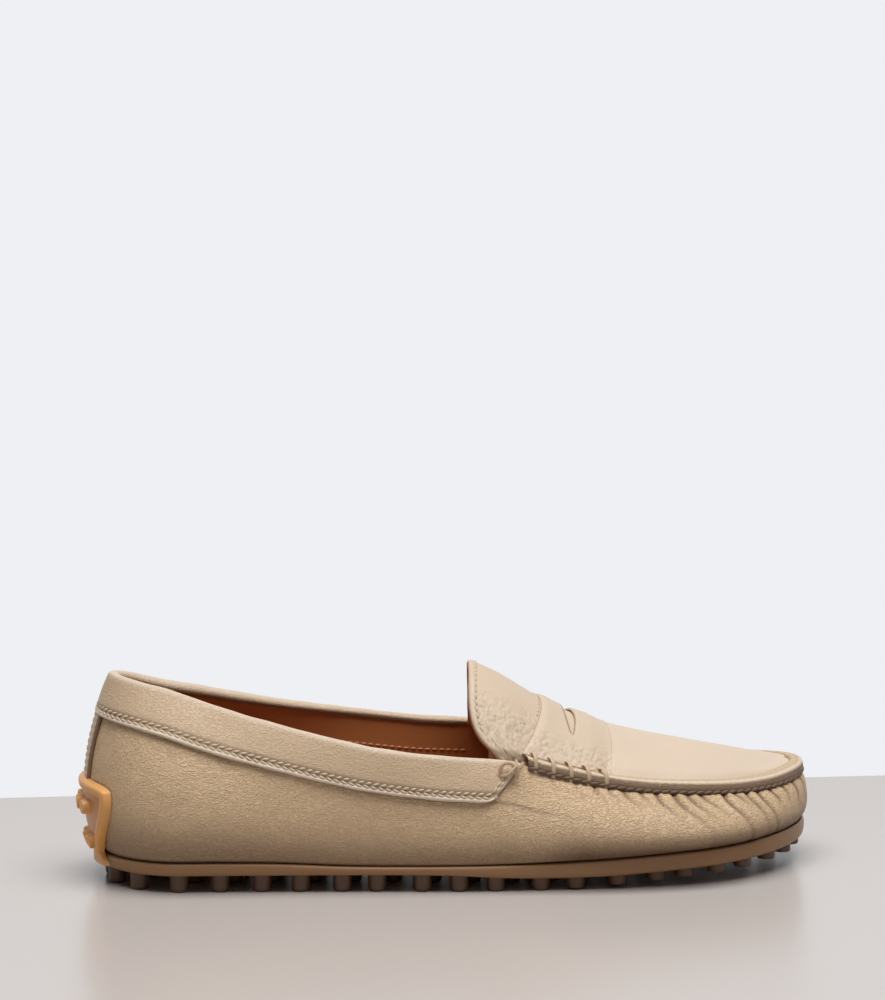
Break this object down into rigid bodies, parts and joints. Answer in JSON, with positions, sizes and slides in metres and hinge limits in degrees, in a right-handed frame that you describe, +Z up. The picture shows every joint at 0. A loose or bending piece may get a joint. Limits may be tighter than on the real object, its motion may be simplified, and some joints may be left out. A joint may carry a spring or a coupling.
{
  "type": "driving moccasin",
  "caption": "Right driving moccasin in grained leather with a raised toe seam, slotted saddle strap, folded collar band and a gum-rubber pebble sole with a heel tab.",
  "frame": {"origin": "bottom centre of the bounding box, on the plane that the pebbles stand on", "axes": "+X from heel to toe, +Y towards the inner side, -Y towards the outer side, +Z up"},
  "size_m": [0.25, 0.0897, 0.0714],
  "materials": {
    "leather": "fine-grained, semi-matt",
    "gum_rubber": "smooth, translucent gum",
    "lining": "smooth, matt"
  },
  "bodies": {
    "root": {"outsole": "gum_rubber", "insole": "lining", "upper": "leather", "apron": "leather", "tongue": "leather", "saddle_strap": "leather", "moc_seam": "leather", "collar_band": "leather", "heel_strip": "leather"}
  },
  "joints": []
}
